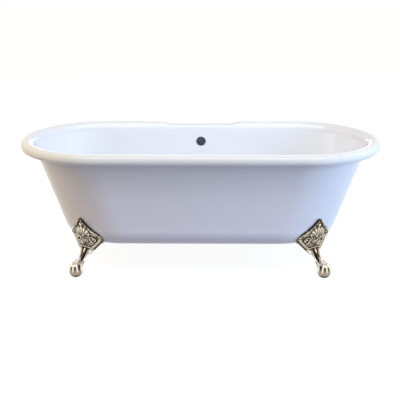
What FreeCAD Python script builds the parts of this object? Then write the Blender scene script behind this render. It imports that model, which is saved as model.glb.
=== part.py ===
import FreeCAD, Part
import os
import Sketcher
from FreeCAD import Placement, Rotation, Vector

# Double-ended clawfoot bathtub, in millimetres.
# The origin is on the floor under the middle of the tub, +X runs to the bather's right along the
# length, +Y runs to the side with the tap deck and the overflow, and +Z is up.

SIZES = {
    # Cast tub: overall size, over the rolled rim
    "rim_length": 1702,
    "rim_width": 762,
    "rim_height": 597,
    # Rolled rim: the three arcs of its section, from the basin outwards
    "roll_inner_radius": 37,
    "roll_outer_radius": 29,
    "roll_lip_radius": 18,
    "roll_wall": 8,
    # Wall: straight from the bottom to the shoulder, then flaring out to the rim
    "wall_thickness": 8,
    "shoulder_drop": 82,
    "shoulder_end_inset": 36,
    "shoulder_side_inset": 5,
    "bottom_height": 140,
    "bottom_length": 1274,
    "bottom_width": 588,
    "bottom_radius": 80,
    "floor_thickness": 10,
    # Tap deck, let into the rim on the far side
    "deck_length": 304,
    "deck_slope_run": 54,
    "deck_drop": 16,
    "deck_wall": 8,
    # Overflow hole in the far wall, with its flat seat outside
    "overflow_hole_radius": 25,
    "overflow_drop": 99,
    "overflow_seat_radius": 36,
    "overflow_seat_inset": 54,
    # Waste hole in the floor, with the recess round it
    "waste_hole_radius": 27,
    "waste_offset": 130,
    "waste_recess_radius": 38,
    "waste_recess_depth": 2.5,
    # Feet: each stands on a line from the centre of the tub's round end
    "foot_centre": 366,
    "foot_angle": 35.3,
    "seat_gap": 0.3,
    "shield_thickness": 11,
    "shield_peak_height": 272,
    "shield_shoulder_height": 228,
    "shield_shoulder_half_width": 55,
    "shield_corner_height": 178,
    "shield_half_width": 98,
    "shield_toe_half_width": 28,
    "shield_toe_height": 103,
    "apron_reach": 292,
    "apron_radius": 218,
    "apron_wall": 9,
    "shelf_reach_in": 178,
    "shelf_reach_out": 262,
    "shelf_half_width": 24,
    "shelf_thickness": 10,
    "web_reach_in": 222,
    "leg_top_reach": 272,
    "leg_top_height": 160,
    "leg_top_radius": 27,
    "leg_neck_reach": 283,
    "leg_neck_height": 124,
    "leg_neck_radius": 20,
    "ankle_reach": 295,
    "ankle_height": 100,
    "ankle_radius": 16,
    "shin_reach": 314,
    "shin_height": 82,
    "shin_radius": 12.5,
    "ball_reach": 361.5,
    "ball_radius": 31,
    "ball_flat_depth": 2,
    "toe_radius": 5.5,
    "toe_spread": 38,
    "toe_curl": 62,
    "toe_lift": 12,
    # Foot fastening: boss under the tub, stud, washer and nut
    "boss_radius": 17,
    "boss_clearance": 1,
    "stud_reach": 206,
    "stud_radius": 5,
    "stud_hole_clearance": 0.5,
    "stud_thread_clearance": 0.05,
    "stud_engagement": 14,
    "stud_tail": 3,
    "washer_radius": 11,
    "washer_thickness": 2,
    "nut_flats": 17,
    "nut_height": 8,
    # Waste strainer, shoe and gaskets
    "strainer_flange_radius": 36,
    "strainer_flange_thickness": 3,
    "strainer_radius": 23,
    "strainer_wall": 3,
    "strainer_length": 36,
    "crossbar_width": 8,
    "crossbar_height": 6,
    "crossbar_hub_radius": 10,
    "gasket_thickness": 3,
    "shoe_flange_radius": 36,
    "shoe_flange_thickness": 6,
    "shoe_radius": 29,
    "shoe_depth": 48,
    "shoe_wall": 4,
    "thread_clearance": 0.1,
    # Press-down stopper
    "cartridge_radius": 7,
    "cartridge_length": 24,
    "plunger_radius": 4,
    "plunger_clearance": 0.05,
    "plunger_length": 34,
    "stopper_radius": 24,
    "stopper_crown": 6,
    "seal_radius": 21,
    "seal_width": 5,
    "seal_thickness": 2,
    # Waste pipes, and the narrower overflow riser
    "pipe_radius": 19.05,
    "riser_radius": 17.5,
    "pipe_wall": 1.2,
    "pipe_clearance": 0.1,
    "socket_wall": 2.5,
    "socket_depth": 20,
    "riser_setback": 25.5,
    "branch_height": 110,
    "tee_half_height": 40,
    "tee_branch_reach": 44,
    "tee_belly_radius": 24,
    "tee_belly_half_height": 24,
    "tee_chamber_margin": 1,
    "arm_insert": 22,
    "tailpiece_end_height": 12,
    "tailpiece_grip": 44,
    "tailpiece_bead_radius": 21,
    "tailpiece_bead_height": 2,
    "nut_ring_wall": 3.35,
    "nut_ring_length": 16,
    "nut_ring_lip": 4,
    "slip_washer_thickness": 3,
    # Overflow elbow
    "elbow_flange_thickness": 5,
    "elbow_flange_radius": 35,
    "elbow_radius": 28,
    "elbow_wall": 3,
    "elbow_depth": 47,
    "elbow_drop": 46,
}

doc = FreeCAD.newDocument("clawfoot_bathtub")
sheet = doc.addObject("Spreadsheet::Sheet", "sizes")
for row, (alias, size) in enumerate(SIZES.items(), start=1):
    sheet.set(f"A{row}", alias.replace("_", " "))
    sheet.set(f"B{row}", str(size))
    sheet.setAlias(f"B{row}", alias)
doc.recompute()

FAR = "sizes.rim_length"                      # past anything on the tub, for cutting tools only
ALONG_Y = Rotation(Vector(1, 0, 0), -90)      # turns a piece that stands on Z to lie along +Y
SUBPARTS = []


def bind(thing, **expressions):
    """Tie properties of a document object to the sheet; x, y and z are its place."""
    for name, expression in expressions.items():
        path = f"Placement.Base.{name}" if name in ("x", "y", "z") else name
        thing.setExpression(path, str(expression))


def primitive(kind, name, turn=None, **expressions):
    """A Part primitive whose sizes and place follow the sheet."""
    thing = doc.addObject(f"Part::{kind}", name)
    if turn:
        thing.Placement = Placement(Vector(), turn)
    bind(thing, **expressions)
    return thing


def cylinder(name, radius, height, turn=None, **place):
    return primitive("Cylinder", name, turn, Radius=radius, Height=height, **place)


def fuse(name, *shapes):
    thing = doc.addObject("Part::MultiFuse", name)
    thing.Shapes = list(shapes)
    return thing


def cut(name, base, *tools):
    thing = doc.addObject("Part::Cut", name)
    thing.Base = base
    thing.Tool = tools[0] if len(tools) == 1 else fuse(f"{name}_tools", *tools)
    return thing


def common(name, first, second):
    thing = doc.addObject("Part::MultiCommon", name)
    thing.Shapes = [first, second]
    return thing


def group(name, shapes):
    """Identical separate solids that share one node."""
    thing = doc.addObject("Part::Compound", name)
    thing.Links = shapes
    return thing


def finish(thing, label):
    """Name a finished sub-part after the piece that it is."""
    thing.Label = label
    SUBPARTS.append(thing)
    return thing


def prism(name, sketch, length, direction, both_ways=False):
    """A solid pushed out of a closed sketch."""
    thing = doc.addObject("Part::Extrusion", name)
    thing.Base = sketch
    thing.DirMode = "Custom"
    thing.Dir = direction
    thing.Solid = True
    thing.Symmetric = both_ways
    bind(thing, LengthFwd=length)
    return thing


def polygon_sketch(name, turn, corners):
    """A closed outline of straight edges; each corner is a pair of expressions."""
    sketch = doc.addObject("Sketcher::SketchObject", name)
    sketch.Placement = Placement(Vector(), turn)
    count = len(corners)
    guesses = [Vector(evaluate(x), evaluate(y), 0) for x, y in corners]
    for i in range(count):
        sketch.addGeometry(Part.LineSegment(guesses[i], guesses[(i + 1) % count]), False)
    for i in range(count):
        sketch.addConstraint(Sketcher.Constraint("Coincident", i, 2, (i + 1) % count, 1))
    for i, (x, y) in enumerate(corners):
        for axis, expression, guess in (("DistanceX", x, guesses[i].x), ("DistanceY", y, guesses[i].y)):
            index = sketch.addConstraint(Sketcher.Constraint(axis, -1, 1, i, 1, guess))
            sketch.setExpression(f"Constraints[{index}]", expression)
    return sketch


def evaluate(expression):
    """The present value of an expression on the sheet, as a plain number."""
    answer = sheet.evalExpression(str(expression).replace("sizes.", ""))
    return float(getattr(answer, "Value", answer))


def stadium_sketch(name, height, half_length, half_width):
    """A long outline with straight sides and half-round ends, level at the given height."""
    sketch = doc.addObject("Sketcher::SketchObject", name)
    bind(sketch, z=height)
    radius = evaluate(half_width)
    centre = evaluate(half_length) - radius
    right, left = Vector(centre, 0, 0), Vector(-centre, 0, 0)
    up = Vector(0, 0, 1)
    front = sketch.addGeometry(Part.LineSegment(left - Vector(0, radius, 0), right - Vector(0, radius, 0)))
    end_right = sketch.addGeometry(Part.ArcOfCircle(Part.Circle(right, up, radius), -NINETY, NINETY))
    back = sketch.addGeometry(Part.LineSegment(right + Vector(0, radius, 0), left + Vector(0, radius, 0)))
    end_left = sketch.addGeometry(Part.ArcOfCircle(Part.Circle(left, up, radius), NINETY, 3 * NINETY))
    chain = [front, end_right, back, end_left]
    for i, edge in enumerate(chain):
        sketch.addConstraint(Sketcher.Constraint("Tangent", edge, 2, chain[(i + 1) % 4], 1))
    sketch.addConstraint(Sketcher.Constraint("Horizontal", front))
    sketch.addConstraint(Sketcher.Constraint("Symmetric", end_left, 3, end_right, 3, -1, 1))
    reach = sketch.addConstraint(Sketcher.Constraint("DistanceX", -1, 1, end_right, 3, centre))
    round_end = sketch.addConstraint(Sketcher.Constraint("Radius", end_right, radius))
    sketch.setExpression(f"Constraints[{reach}]", f"{half_length} - ({half_width})")
    sketch.setExpression(f"Constraints[{round_end}]", half_width)
    return sketch


NINETY = 1.5707963267948966

# Where the wall meets the rolled rim
ROLL_WIDTH = "(sizes.roll_inner_radius + sizes.roll_outer_radius)"
ROOT_HEIGHT = "(sizes.rim_height - sizes.roll_inner_radius)"
ROOT_HALF_LENGTH = f"(sizes.rim_length / 2 - {ROLL_WIDTH} + sizes.roll_wall)"
ROOT_HALF_WIDTH = f"(sizes.rim_width / 2 - {ROLL_WIDTH} + sizes.roll_wall)"


def tub_form(name, grow, bottom_grow):
    """The tub's outer form up to the rim's root, made larger by a distance all round."""
    bottom = stadium_sketch(
        f"{name}_bottom", f"sizes.bottom_height - ({bottom_grow})",
        f"sizes.bottom_length / 2 + ({grow})", f"sizes.bottom_width / 2 + ({grow})")
    shoulder = stadium_sketch(
        f"{name}_shoulder", f"{ROOT_HEIGHT} - sizes.shoulder_drop",
        f"{ROOT_HALF_LENGTH} - sizes.shoulder_end_inset + ({grow})",
        f"{ROOT_HALF_WIDTH} - sizes.shoulder_side_inset + ({grow})")
    root = stadium_sketch(
        f"{name}_root", ROOT_HEIGHT, f"{ROOT_HALF_LENGTH} + ({grow})", f"{ROOT_HALF_WIDTH} + ({grow})")
    block = doc.addObject("Part::Loft", f"{name}_block")
    block.Sections = [bottom, shoulder, root]
    block.Solid = True
    block.Ruled = True
    doc.recompute()
    # Only the edges of the flat bottom are rounded
    level = evaluate(f"sizes.bottom_height - ({bottom_grow})")
    radius = evaluate(f"sizes.bottom_radius + ({grow})")
    rounded = doc.addObject("Part::Fillet", name)
    rounded.Base = block
    rounded.Edges = [
        (number, radius, radius)
        for number, edge in enumerate(block.Shape.Edges, start=1)
        if abs(edge.BoundBox.ZMax - level) < 0.01
    ]
    return rounded


def roll_section(name, hollow):
    """The rolled rim's section, seen along the tub: a rolled sheet, or the full form it wraps.

    The sketch's x is the distance from the tub's long middle line, and its y is the height.
    """
    sketch = doc.addObject("Sketcher::SketchObject", name)
    sketch.Placement = Placement(Vector(), Rotation(Vector(0, 1, 0), Vector(0, 0, 1), Vector(1, 0, 0), "XYZ"))
    inner, outer, lip, wall = (
        evaluate(f"sizes.roll_{part}") for part in ("inner_radius", "outer_radius", "lip_radius", "wall"))
    edge = evaluate("sizes.rim_width / 2")
    top = evaluate("sizes.rim_height")
    up = Vector(0, 0, 1)
    centres = [
        Vector(edge - outer, top - inner, 0),
        Vector(edge - outer, top - outer, 0),
        Vector(edge - lip, top - outer, 0),
    ]
    spans = [(NINETY, 2 * NINETY), (0, NINETY), (-NINETY, 0)]

    def arcs(thinner):
        radii = [inner - thinner, outer - thinner, lip - thinner]
        return [
            sketch.addGeometry(Part.ArcOfCircle(Part.Circle(centre, up, radius), *span))
            for centre, radius, span in zip(centres, radii, spans)
        ]

    def chain(arc):
        """Join arc ends in order; each arc's centre lies square to its own ends."""
        for first, second in zip(arc, arc[1:]):
            sketch.addConstraint(Sketcher.Constraint("Coincident", first, 1, second, 2))

    def square(arc):
        sketch.addConstraint(Sketcher.Constraint("Horizontal", arc[0], 3, arc[0], 2))
        sketch.addConstraint(Sketcher.Constraint("Vertical", arc[0], 3, arc[0], 1))
        sketch.addConstraint(Sketcher.Constraint("Horizontal", arc[1], 3, arc[1], 1))
        sketch.addConstraint(Sketcher.Constraint("Vertical", arc[2], 3, arc[2], 1))

    def bound(constraint, expression):
        index = sketch.addConstraint(constraint)
        sketch.setExpression(f"Constraints[{index}]", expression)

    face = arcs(0)
    chain(face)
    square(face)
    bound(Sketcher.Constraint("DistanceX", -1, 1, face[1], 3, edge - outer),
          "sizes.rim_width / 2 - sizes.roll_outer_radius")
    bound(Sketcher.Constraint("DistanceY", -1, 1, face[1], 3, top - outer),
          "sizes.rim_height - sizes.roll_outer_radius")
    sketch.addConstraint(Sketcher.Constraint("Vertical", face[1], 3, face[1], 2))
    sketch.addConstraint(Sketcher.Constraint("Horizontal", face[2], 3, face[2], 2))
    for arc, radius in zip(face, ("inner", "outer", "lip")):
        bound(Sketcher.Constraint("Radius", arc, evaluate(f"sizes.roll_{radius}_radius")),
              f"sizes.roll_{radius}_radius")
    root = centres[0] + Vector(-inner, 0, 0)
    tip = centres[2] + Vector(0, -lip, 0)
    if hollow:
        back = arcs(wall)
        chain(back)
        square(back)
        for near, far in zip(face, back):
            sketch.addConstraint(Sketcher.Constraint("Coincident", near, 3, far, 3))
        bound(Sketcher.Constraint("Radius", back[0], inner - wall),
              "sizes.roll_inner_radius - sizes.roll_wall")
        ends = [
            sketch.addGeometry(Part.LineSegment(root, root + Vector(wall, 0, 0))),
            sketch.addGeometry(Part.LineSegment(tip, tip + Vector(0, wall, 0))),
        ]
        sketch.addConstraint(Sketcher.Constraint("Coincident", ends[0], 1, face[0], 2))
        sketch.addConstraint(Sketcher.Constraint("Coincident", ends[0], 2, back[0], 2))
        sketch.addConstraint(Sketcher.Constraint("Coincident", ends[1], 1, face[2], 1))
        sketch.addConstraint(Sketcher.Constraint("Coincident", ends[1], 2, back[2], 1))
    else:
        floor = sketch.addGeometry(Part.LineSegment(tip, Vector(root.x, tip.y, 0)))
        side = sketch.addGeometry(Part.LineSegment(Vector(root.x, tip.y, 0), root))
        sketch.addConstraint(Sketcher.Constraint("Coincident", floor, 1, face[2], 1))
        sketch.addConstraint(Sketcher.Constraint("Coincident", floor, 2, side, 1))
        sketch.addConstraint(Sketcher.Constraint("Coincident", side, 2, face[0], 2))
        sketch.addConstraint(Sketcher.Constraint("Horizontal", floor))
        sketch.addConstraint(Sketcher.Constraint("Vertical", side))
    return sketch


def rolled_rim():
    """The roll carried along both straight sides and round both ends."""
    section = roll_section("roll_section", hollow=True)
    straight = "sizes.rim_length - sizes.rim_width"
    side = prism("roll_back", section, straight, Vector(1, 0, 0), both_ways=True)
    end = doc.addObject("Part::Revolution", "roll_end")
    end.Source = section
    end.Axis = Vector(0, 0, -1)
    end.Angle = 180
    end.Solid = True
    bind(end, x=f"({straight}) / 2")
    pieces = [side, end]
    for source, normal in ((side, Vector(0, 1, 0)), (end, Vector(1, 0, 0))):
        other = doc.addObject("Part::Mirroring", f"{source.Name}_opposite")
        other.Source = source
        other.Normal = normal
        pieces.append(other)
    return fuse("rolled_rim", *pieces)


def deck_outline(name, points):
    """An outline seen from the front, carried back through the far rim."""
    sketch = polygon_sketch(name, Rotation(Vector(1, 0, 0), 90), points)
    solid = prism(f"{name}_band", sketch, "sizes.rim_width", Vector(0, 1, 0))
    return solid


def tap_deck(rim):
    """Lower the far rim's middle to a flat deck with sloping ends."""
    flat = "sizes.deck_length / 2"
    whole = f"({flat} + sizes.deck_slope_run)"
    top = "sizes.rim_height"
    low = f"({top} - sizes.deck_drop)"
    clear = deck_outline("deck_clearance", [
        (f"-{whole}", top), (f"-{flat}", low), (flat, low), (whole, top),
        (whole, f"{top} + sizes.rim_height"), (f"-{whole}", f"{top} + sizes.rim_height")])
    band = deck_outline("deck_plate", [
        (f"-{whole}", top), (f"-{flat}", low), (flat, low), (whole, top),
        (whole, f"{top} - sizes.deck_wall"), (flat, f"{low} - sizes.deck_wall"),
        (f"-{flat}", f"{low} - sizes.deck_wall"), (f"-{whole}", f"{top} - sizes.deck_wall")])
    section = roll_section("roll_envelope", hollow=False)
    envelope = prism("roll_envelope_bar", section, f"2 * {whole}", Vector(1, 0, 0), both_ways=True)
    plate = common("deck_slab", band, envelope)
    return fuse("rim_with_deck", cut("lowered_rim", rim, clear), plate)


def corners(action):
    """Repeat something at the four feet, given the two signs and the foot's name."""
    return [
        action(right, back, f"{'back' if back > 0 else 'front'}_{'right' if right > 0 else 'left'}")
        for back in (-1, 1) for right in (-1, 1)
    ]


def at_foot(reach, right, back):
    """Place expressions of a point on a foot's line, at a distance from the end's centre."""
    return {
        "x": f"{right} * (sizes.foot_centre + {reach} * sin(sizes.foot_angle))",
        "y": f"{back} * {reach} * cos(sizes.foot_angle)",
    }


SEAT_HEIGHT = "(sizes.bottom_height - sizes.seat_gap - sizes.shield_thickness)"
OVERFLOW_HEIGHT = "(sizes.rim_height - sizes.overflow_drop)"
OVERFLOW_SEAT = "(sizes.rim_width / 2 - sizes.overflow_seat_inset)"
FLOOR_TOP = "(sizes.bottom_height + sizes.floor_thickness)"
RECESS_TOP = f"({FLOOR_TOP} - sizes.waste_recess_depth)"


def tub_shell():
    outside = tub_form("tub_outside", "0", "0")
    basin = tub_form("tub_basin", "-sizes.wall_thickness", "-sizes.floor_thickness")
    bowl = cut("tub_bowl", outside, basin)
    seat = cylinder("overflow_seat", "sizes.overflow_seat_radius", "sizes.wall_thickness * 4", ALONG_Y,
                    y=f"{OVERFLOW_SEAT} - sizes.wall_thickness * 4", z=OVERFLOW_HEIGHT)
    seat = cut("overflow_seat_outside", seat, basin)
    bosses = corners(lambda right, back, name: cylinder(
        f"boss_{name}", "sizes.boss_radius", f"{FLOOR_TOP} - {SEAT_HEIGHT} - sizes.floor_thickness / 2",
        z=SEAT_HEIGHT, **at_foot("sizes.stud_reach", right, back)))
    stud_holes = corners(lambda right, back, name: cylinder(
        f"boss_hole_{name}", "sizes.stud_radius + sizes.stud_thread_clearance",
        "sizes.stud_engagement * 2", z=f"{SEAT_HEIGHT} - sizes.stud_engagement",
        **at_foot("sizes.stud_reach", right, back)))
    overflow = cylinder("overflow_hole", "sizes.overflow_hole_radius", "sizes.rim_width", ALONG_Y,
                        z=OVERFLOW_HEIGHT)
    waste = cylinder("waste_hole", "sizes.waste_hole_radius", FLOOR_TOP,
                     y="sizes.waste_offset", z="sizes.bottom_height / 2")
    recess = cylinder("waste_recess", "sizes.waste_recess_radius", "sizes.bottom_height",
                      y="sizes.waste_offset", z=RECESS_TOP)
    whole = fuse("tub_casting", bowl, tap_deck(rolled_rim()), seat, *bosses)
    return finish(cut("tub", whole, overflow, waste, recess, *stud_holes), "tub_shell")


def leg_ring(name, reach, height, radius, tilt):
    """A round section of the leg; its tilt leans it from level towards the tub."""
    ring = doc.addObject("Part::Circle", name)
    ring.Placement = Placement(Vector(), Rotation(Vector(0, 1, 0), tilt))
    bind(ring, Radius=radius, x=reach, z=height)
    return ring


def toe(name, turn_degrees):
    """One toe, a round bar bent over the ball in an upright plane."""
    bar = doc.addObject("Part::Torus", name)
    upright = Rotation(Vector(0, 0, 1), turn_degrees) * Rotation(Vector(1, 0, 0), 90)
    bar.Placement = Placement(Vector(), upright * Rotation(Vector(0, 0, 1), -evaluate("toe_lift")))
    bind(bar, Radius1="sizes.ball_radius + sizes.toe_radius / 4", Radius2="sizes.toe_radius",
         Angle3="sizes.toe_curl", x="sizes.ball_reach", z="sizes.ball_radius - sizes.ball_flat_depth")
    return bar


def claw_leg():
    """Leg, toes and ball, with +X pointing away from the end's centre."""
    ball = primitive("Sphere", "ball", Radius="sizes.ball_radius", x="sizes.ball_reach",
                     z="sizes.ball_radius - sizes.ball_flat_depth")
    ball_top = "(2 * sizes.ball_radius - sizes.ball_flat_depth)"
    leg = doc.addObject("Part::Loft", "leg_bar")
    leg.Sections = [
        leg_ring("leg_foot_ring", "sizes.ball_reach - sizes.ball_radius / 4",
                 f"{ball_top} - sizes.ball_radius / 4", "sizes.shin_radius * 1.3", -30),
        leg_ring("shin_ring", "(sizes.shin_reach + sizes.ball_reach) / 2",
                 f"(sizes.shin_height + {ball_top}) / 2 + sizes.shin_radius / 4", "sizes.shin_radius", -52),
        leg_ring("calf_ring", "sizes.shin_reach", "sizes.shin_height", "sizes.shin_radius", -54),
        leg_ring("ankle_ring", "sizes.ankle_reach", "sizes.ankle_height", "sizes.ankle_radius", -38),
        leg_ring("leg_neck_ring", "sizes.leg_neck_reach", "sizes.leg_neck_height",
                 "sizes.leg_neck_radius", -16),
        leg_ring("leg_top_ring", "sizes.leg_top_reach", "sizes.leg_top_height", "sizes.leg_top_radius", -4),
    ]
    leg.Solid = True
    spread = evaluate("toe_spread")
    toes = [toe(f"toe_{side_name}_{number}", side * spread * (number - 0.5))
            for side_name, side in (("right", -1), ("left", 1)) for number in (1, 2, 3)]
    shelf = primitive(
        "Box", "shelf", Length="sizes.shelf_reach_out - sizes.shelf_reach_in",
        Width="2 * sizes.shelf_half_width", Height="sizes.shelf_thickness",
        x="sizes.shelf_reach_in", y="-sizes.shelf_half_width", z=f"{SEAT_HEIGHT} - sizes.shelf_thickness")
    web = primitive(
        "Box", "shelf_web", Length="sizes.ankle_reach - sizes.web_reach_in",
        Width="sizes.ankle_radius", Height="sizes.ankle_radius",
        x="sizes.web_reach_in", y="-sizes.ankle_radius / 2",
        z=f"{SEAT_HEIGHT} - sizes.shelf_thickness * 0.9 - sizes.ankle_radius")
    ground = primitive("Box", "ground", Length=FAR, Width=FAR, Height=FAR, x=f"-{FAR} / 2",
                       y=f"-{FAR} / 2", z=f"-{FAR}")
    return cut("claw_leg", fuse("claw_parts", ball, leg, shelf, web, *toes), ground)


def shield():
    """The kite-shaped plate that wraps the tub's corner, with the apron that hangs below it."""
    inner = tub_form("shield_inside", "sizes.seat_gap", "sizes.seat_gap")
    thick = "sizes.seat_gap + sizes.shield_thickness"
    outer = tub_form("shield_outside", thick, thick)
    wrap = cut("shield_wrap", outer, inner)
    side, toe_side = "sizes.shield_half_width", "sizes.shield_toe_half_width"
    upper_side, upper = "sizes.shield_shoulder_half_width", "sizes.shield_shoulder_height"
    peak, corner, low = (f"sizes.shield_{part}_height" for part in ("peak", "corner", "toe"))
    kite = polygon_sketch("kite", Rotation(Vector(0, 1, 0), Vector(0, 0, 1), Vector(1, 0, 0), "XYZ"), [
        ("0", peak), (f"-{upper_side}", upper), (f"-{side}", corner), (f"-{toe_side}", low),
        (toe_side, low), (side, corner), (upper_side, upper)])
    block = prism("kite_block", kite, "sizes.ball_reach", Vector(1, 0, 0))
    bind(kite, x="sizes.shelf_reach_in")
    turned = group("kite_turned", [block])
    stand_on_foot_line(turned)
    return common("foot_shield", fuse("shield_blank", wrap, apron()), turned), inner


def apron():
    """The shield's lower front, a bowed upright plate between the tub's round edge and the leg."""
    axis = "sizes.apron_reach - sizes.apron_radius"
    outside = cylinder("apron_outside", "sizes.apron_radius",
                       "sizes.shield_corner_height - sizes.shield_toe_height",
                       x=axis, z="sizes.shield_toe_height")
    inside = cylinder("apron_inside", "sizes.apron_radius - sizes.apron_wall",
                      "sizes.shield_corner_height", x=axis, z="sizes.shield_toe_height / 2")
    ahead = primitive("Box", "apron_ahead", Length=FAR, Width=FAR, Height=FAR,
                      x="sizes.shelf_reach_out - sizes.apron_wall", y=f"-{FAR} / 2")
    plate = group("apron_placed", [common("apron", cut("apron_ring", outside, inside), ahead)])
    stand_on_foot_line(plate)
    return plate


def stand_on_foot_line(thing):
    """Move a piece made along +X to the line of the front right foot."""
    thing.Placement = Placement(Vector(), Rotation(Vector(0, 0, -1), 54.7))
    thing.setExpression("Placement.Rotation.Angle", "90 - sizes.foot_angle")
    bind(thing, x="sizes.foot_centre")


def feet():
    """One foot for the front right corner, and its mirror images at the other three."""
    leg = group("claw_leg_placed", [claw_leg()])
    stand_on_foot_line(leg)
    hole = cylinder("foot_stud_hole", "sizes.stud_radius + sizes.stud_hole_clearance", FLOOR_TOP,
                    **at_foot("sizes.stud_reach", 1, -1))
    pocket = cylinder("foot_boss_pocket", "sizes.boss_radius + sizes.boss_clearance", FLOOR_TOP,
                      z=SEAT_HEIGHT, **at_foot("sizes.stud_reach", 1, -1))
    plate, tub_side = shield()
    body = cut("foot_body", fuse("foot_blank", plate, leg), tub_side)
    front_right = finish(cut("foot_front_right", body, hole, pocket), "foot_front_right")
    for name, source, normal in (
            ("foot_front_left", front_right, Vector(1, 0, 0)),
            ("foot_back_right", front_right, Vector(0, 1, 0))):
        mirrored = doc.addObject("Part::Mirroring", name)
        mirrored.Source = source
        mirrored.Normal = normal
        finish(mirrored, name)
    back_left = doc.addObject("Part::Mirroring", "foot_back_left")
    back_left.Source = doc.getObject("foot_front_left")
    back_left.Normal = Vector(0, 1, 0)
    finish(back_left, "foot_back_left")


def hexagon(name, flats, height, **place):
    """A six-sided bar on Z."""
    bar = doc.addObject("Part::Prism", name)
    bar.Polygon = 6
    bind(bar, Circumradius=f"{flats} / sqrt(3)", Height=height, **place)
    return bar


def foot_fasteners():
    shelf_bottom = f"({SEAT_HEIGHT} - sizes.shelf_thickness)"
    stud_length = ("sizes.stud_engagement + sizes.shelf_thickness + sizes.washer_thickness"
                   " + sizes.nut_height + sizes.stud_tail")
    studs = corners(lambda right, back, name: cylinder(
        f"stud_{name}", "sizes.stud_radius", stud_length,
        z=f"{SEAT_HEIGHT} + sizes.stud_engagement - ({stud_length})",
        **at_foot("sizes.stud_reach", right, back)))
    finish(group("foot_studs", studs), "foot_studs")

    def washer(right, back, name):
        place = at_foot("sizes.stud_reach", right, back)
        level = f"{shelf_bottom} - sizes.washer_thickness"
        disc = cylinder(f"washer_disc_{name}", "sizes.washer_radius", "sizes.washer_thickness",
                        z=level, **place)
        hole = cylinder(f"washer_hole_{name}", "sizes.stud_radius + sizes.stud_hole_clearance",
                        FLOOR_TOP, z=f"({level}) / 2", **place)
        return cut(f"washer_{name}", disc, hole)

    def nut(right, back, name):
        place = at_foot("sizes.stud_reach", right, back)
        level = f"{shelf_bottom} - sizes.washer_thickness - sizes.nut_height"
        body = hexagon(f"nut_body_{name}", "sizes.nut_flats", "sizes.nut_height", z=level, **place)
        hole = cylinder(f"nut_hole_{name}", "sizes.stud_radius + sizes.stud_thread_clearance",
                        FLOOR_TOP, z=f"({level}) / 2", **place)
        return cut(f"nut_{name}", body, hole)

    finish(group("foot_washers", corners(washer)), "foot_washers")
    finish(group("foot_nuts", corners(nut)), "foot_nuts")


# The waste stands on its own upright line through the hole in the floor
PIPE, RISER_PIPE = "sizes.pipe_radius", "sizes.riser_radius"
WASTE = {"y": "sizes.waste_offset"}
STRAINER_TOP = f"({RECESS_TOP} + sizes.strainer_flange_thickness)"
STRAINER_BOTTOM = f"({RECESS_TOP} - sizes.strainer_length)"
SHOE_TOP = "(sizes.bottom_height - sizes.gasket_thickness)"
SHOE_BOTTOM = f"({SHOE_TOP} - sizes.shoe_depth)"


def socket_bore(pipe_radius):
    return f"({pipe_radius} + sizes.pipe_clearance)"


def socket_radius(pipe_radius):
    return f"({socket_bore(pipe_radius)} + sizes.socket_wall)"


def waste_strainer():
    """Flanged ring in the floor, with a crossbar below it whose hub holds the stopper's cartridge."""
    flange = cylinder("strainer_flange", "sizes.strainer_flange_radius", "sizes.strainer_flange_thickness",
                      z=RECESS_TOP, **WASTE)
    barrel = cylinder("strainer_barrel", "sizes.strainer_radius",
                      "sizes.strainer_length + sizes.strainer_flange_thickness", z=STRAINER_BOTTOM, **WASTE)
    bore = cylinder("strainer_bore", "sizes.strainer_radius - sizes.strainer_wall", FLOOR_TOP,
                    z="sizes.bottom_height / 2", **WASTE)
    ring = cut("strainer_ring", fuse("strainer_body", flange, barrel), bore)
    span = "2 * sizes.strainer_radius - sizes.strainer_wall"
    bars = [
        primitive("Box", f"crossbar_{way}", Length=length, Width=width, Height="sizes.crossbar_height",
                  x=f"-({length}) / 2", y=f"sizes.waste_offset - ({width}) / 2", z=STRAINER_BOTTOM)
        for way, length, width in (
            ("along", span, "sizes.crossbar_width"), ("across", "sizes.crossbar_width", span))
    ]
    hub = cylinder("crossbar_hub", "sizes.crossbar_hub_radius", "sizes.crossbar_height",
                   z=STRAINER_BOTTOM, **WASTE)
    thread = cylinder("crossbar_thread", "sizes.cartridge_radius + sizes.thread_clearance", FLOOR_TOP,
                      z=f"{STRAINER_BOTTOM} / 2", **WASTE)
    return finish(cut("strainer", fuse("strainer_whole", ring, *bars, hub), thread), "waste_strainer")


def ring_piece(name, label, outer, inner, thickness, turn=None, **place):
    """A flat ring, such as a gasket."""
    disc = cylinder(f"{name}_disc", outer, thickness, turn, **place)
    hole = cylinder(f"{name}_hole", inner, thickness, turn, **place)
    ring = cut(name, disc, hole)
    return finish(ring, label) if label else ring


def waste_shoe():
    """Cup under the tub that the strainer screws into, with a socket for the waste arm."""
    flange = cylinder("shoe_flange", "sizes.shoe_flange_radius", "sizes.shoe_flange_thickness",
                      z=f"{SHOE_TOP} - sizes.shoe_flange_thickness", **WASTE)
    cup = cylinder("shoe_cup", "sizes.shoe_radius", "sizes.shoe_depth", z=SHOE_BOTTOM, **WASTE)
    socket = cylinder("shoe_socket", socket_radius(PIPE), "sizes.shoe_radius + sizes.arm_insert", ALONG_Y,
                      y="sizes.waste_offset", z="sizes.branch_height")
    thread = cylinder("shoe_thread", "sizes.strainer_radius + sizes.thread_clearance", FLOOR_TOP,
                      z=f"{SHOE_BOTTOM} + sizes.shoe_wall", **WASTE)
    bore = cylinder("shoe_bore", socket_bore(PIPE), FAR, ALONG_Y, y="sizes.waste_offset",
                    z="sizes.branch_height")
    return finish(cut("shoe", fuse("shoe_body", flange, cup, socket), thread, bore), "waste_shoe")


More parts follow.
